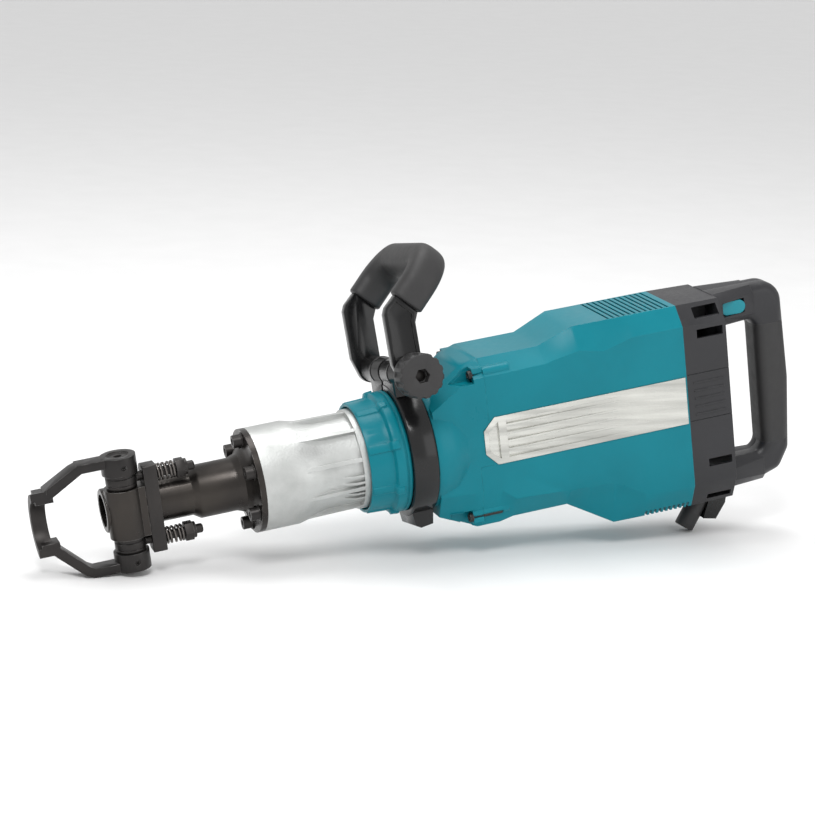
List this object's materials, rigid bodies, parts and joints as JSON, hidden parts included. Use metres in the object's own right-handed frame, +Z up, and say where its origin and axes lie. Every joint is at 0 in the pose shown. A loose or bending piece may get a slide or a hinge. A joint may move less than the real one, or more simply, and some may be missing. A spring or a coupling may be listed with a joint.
{
  "type": "electric jackhammer",
  "caption": "Electric demolition hammer with a hex tool socket and swinging retainer, ribbed barrel, clamped U side handle, boxy body and rear D handle with a switch.",
  "frame": {"origin": "centre of the hex socket mouth", "axes": "+X to the rear handle, level; +Z up; -Y the operator side in view; the hammer axis is pitched 8.74 degrees nose-down as it rests on its lower retainer arm and cord guard"},
  "size_m": [0.8645, 0.2241, 0.3458],
  "materials": {
    "nose_steel": "blackened, lightly oiled",
    "black_steel": "black oxide",
    "bright_steel": "ground",
    "cast_aluminium": "shot-blasted casting",
    "teal_paint": "teal, satin",
    "switch_blue": "teal, satin",
    "silver_panel": "satin silver",
    "black_plastic": "textured",
    "black_rubber": "matt",
    "black_paint": "semi-matt black",
    "bronze": "machined",
    "ring_polymer": "smooth",
    "lamination": "laminated",
    "copper": "varnished",
    "carbon": "graphite"
  },
  "bodies": {
    "hammer": {"barrel_housing": "cast_aluminium", "body_screws": "black_steel", "bolt_guide": "bronze", "brush_holders": "black_plastic", "carbon_brushes": "carbon", "cord_clip": "black_paint", "cord_guard": "black_rubber", "cylinder": "bright_steel", "field_coils": "copper", "flange_screws": "black_steel", "front_collar": "teal_paint", "front_housing": "teal_paint", "gear_cover": "cast_aluminium", "gear_housing": "cast_aluminium", "handle_grip": "black_rubber", "handle_half_far": "black_plastic", "handle_half_near": "black_plastic", "lower_cover": "teal_paint", "motor_frame": "cast_aluminium", "nose_buffer": "black_rubber", "rear_housing": "black_plastic", "retainer_springs": "black_steel", "shaft_bearings": "bright_steel", "side_panel_far": "silver_panel", "side_panel_near": "silver_panel", "speed_controller": "black_plastic", "spring_plate": "black_steel", "stator_core": "lamination", "switch_unit": "black_plastic", "tool_holder": "nose_steel", "upper_cover": "teal_paint"},
    "retainer_pull": {"eye_bolts": "black_steel", "spring_nuts": "black_steel"},
    "retainer": {"tool_retainer": "black_steel", "retainer_pins": "black_steel", "retainer_collars": "black_steel", "retainer_set_screws": "black_steel"},
    "side_clamp": {"clamp_band": "black_paint", "clamp_bolt": "black_steel"},
    "side_handle": {"side_handle_frame": "black_paint", "side_handle_grip": "black_rubber"},
    "washer": {"clamp_washer": "black_steel"},
    "knob": {"clamp_knob": "black_rubber"},
    "switch": {"switch_lever": "switch_blue"},
    "armature": {"armature_shaft": "bright_steel", "armature_core": "lamination", "armature_windings": "copper", "commutator": "copper", "fan": "black_plastic"},
    "lay": {"lay_shaft": "bright_steel", "lay_gear": "bright_steel"},
    "crank": {"crankshaft": "bright_steel", "crank_gear": "bright_steel"},
    "piston": {"piston": "bright_steel", "piston_ring": "ring_polymer", "piston_pin": "bright_steel", "connecting_rod": "bright_steel"},
    "striker": {"striker": "bright_steel", "striker_ring": "ring_polymer"},
    "impact_bolt": {"impact_bolt": "bright_steel"}
  },
  "joints": [
    {"name": "retainer_pull", "type": "slide", "parent": "hammer", "child": "retainer_pull", "axis": [-0.9884, 0, -0.152], "range_m": [0, 0.0015], "stiffness_N_per_m": 20000, "springref_m": -0.01, "deforming": ["retainer_springs"]},
    {"name": "retainer_swing", "type": "hinge", "parent": "retainer_pull", "child": "retainer", "pos_m": [0.02056, -0.0156, 0.00316], "axis": [-0.152, 0, 0.9884], "range_deg": [-110, 110]},
    {"name": "clamp_swivel", "type": "hinge", "parent": "hammer", "child": "side_clamp", "pos_m": [0, 0, 0], "axis": [0.9884, 0, 0.152], "continuous": true},
    {"name": "side_handle_tilt", "type": "hinge", "parent": "side_clamp", "child": "side_handle", "pos_m": [0.31759, 0.01603, 0.13226], "axis": [0.029, 0.9816, -0.1886], "range_deg": [-100, 45]},
    {"name": "washer_slide", "type": "slide", "parent": "side_clamp", "child": "washer", "axis": [-0.029, -0.9816, 0.1886], "range_m": [0, 0.0035]},
    {"name": "knob_turn", "type": "hinge", "parent": "washer", "child": "knob", "pos_m": [0.31469, -0.08213, 0.15112], "axis": [0.029, 0.9816, -0.1886], "range_deg": [0, 720]},
    {"name": "switch_press", "type": "slide", "parent": "hammer", "child": "switch", "axis": [0, 1, 0], "range_m": [0, 0.006]},
    {"name": "armature_spin", "type": "hinge", "parent": "hammer", "child": "armature", "pos_m": [0.58562, 0, 0.09005], "axis": [-0.152, 0, 0.9884], "continuous": true},
    {"name": "lay_spin", "type": "hinge", "parent": "hammer", "child": "lay", "pos_m": [0.53373, 0, 0.08207], "axis": [-0.152, 0, 0.9884], "continuous": true},
    {"name": "crank_spin", "type": "hinge", "parent": "hammer", "child": "crank", "pos_m": [0.4764, 0, 0.07325], "axis": [-0.152, 0, 0.9884], "continuous": true},
    {"name": "piston_stroke", "type": "slide", "parent": "hammer", "child": "piston", "axis": [0.9884, 0, 0.152], "range_m": [0, 0.06]},
    {"name": "striker_stroke", "type": "slide", "parent": "hammer", "child": "striker", "axis": [0.9884, 0, 0.152], "range_m": [0, 0.03]},
    {"name": "bolt_travel", "type": "slide", "parent": "hammer", "child": "impact_bolt", "axis": [0.9884, 0, 0.152], "range_m": [0, 0.007]}
  ],
  "couplings": [
    {"joint": "knob_turn", "follows": "washer_slide", "rad_per_m": 3590.4},
    {"joint": "lay_spin", "follows": "armature_spin", "ratio": -0.25},
    {"joint": "crank_spin", "follows": "armature_spin", "ratio": 0.079545}
  ]
}
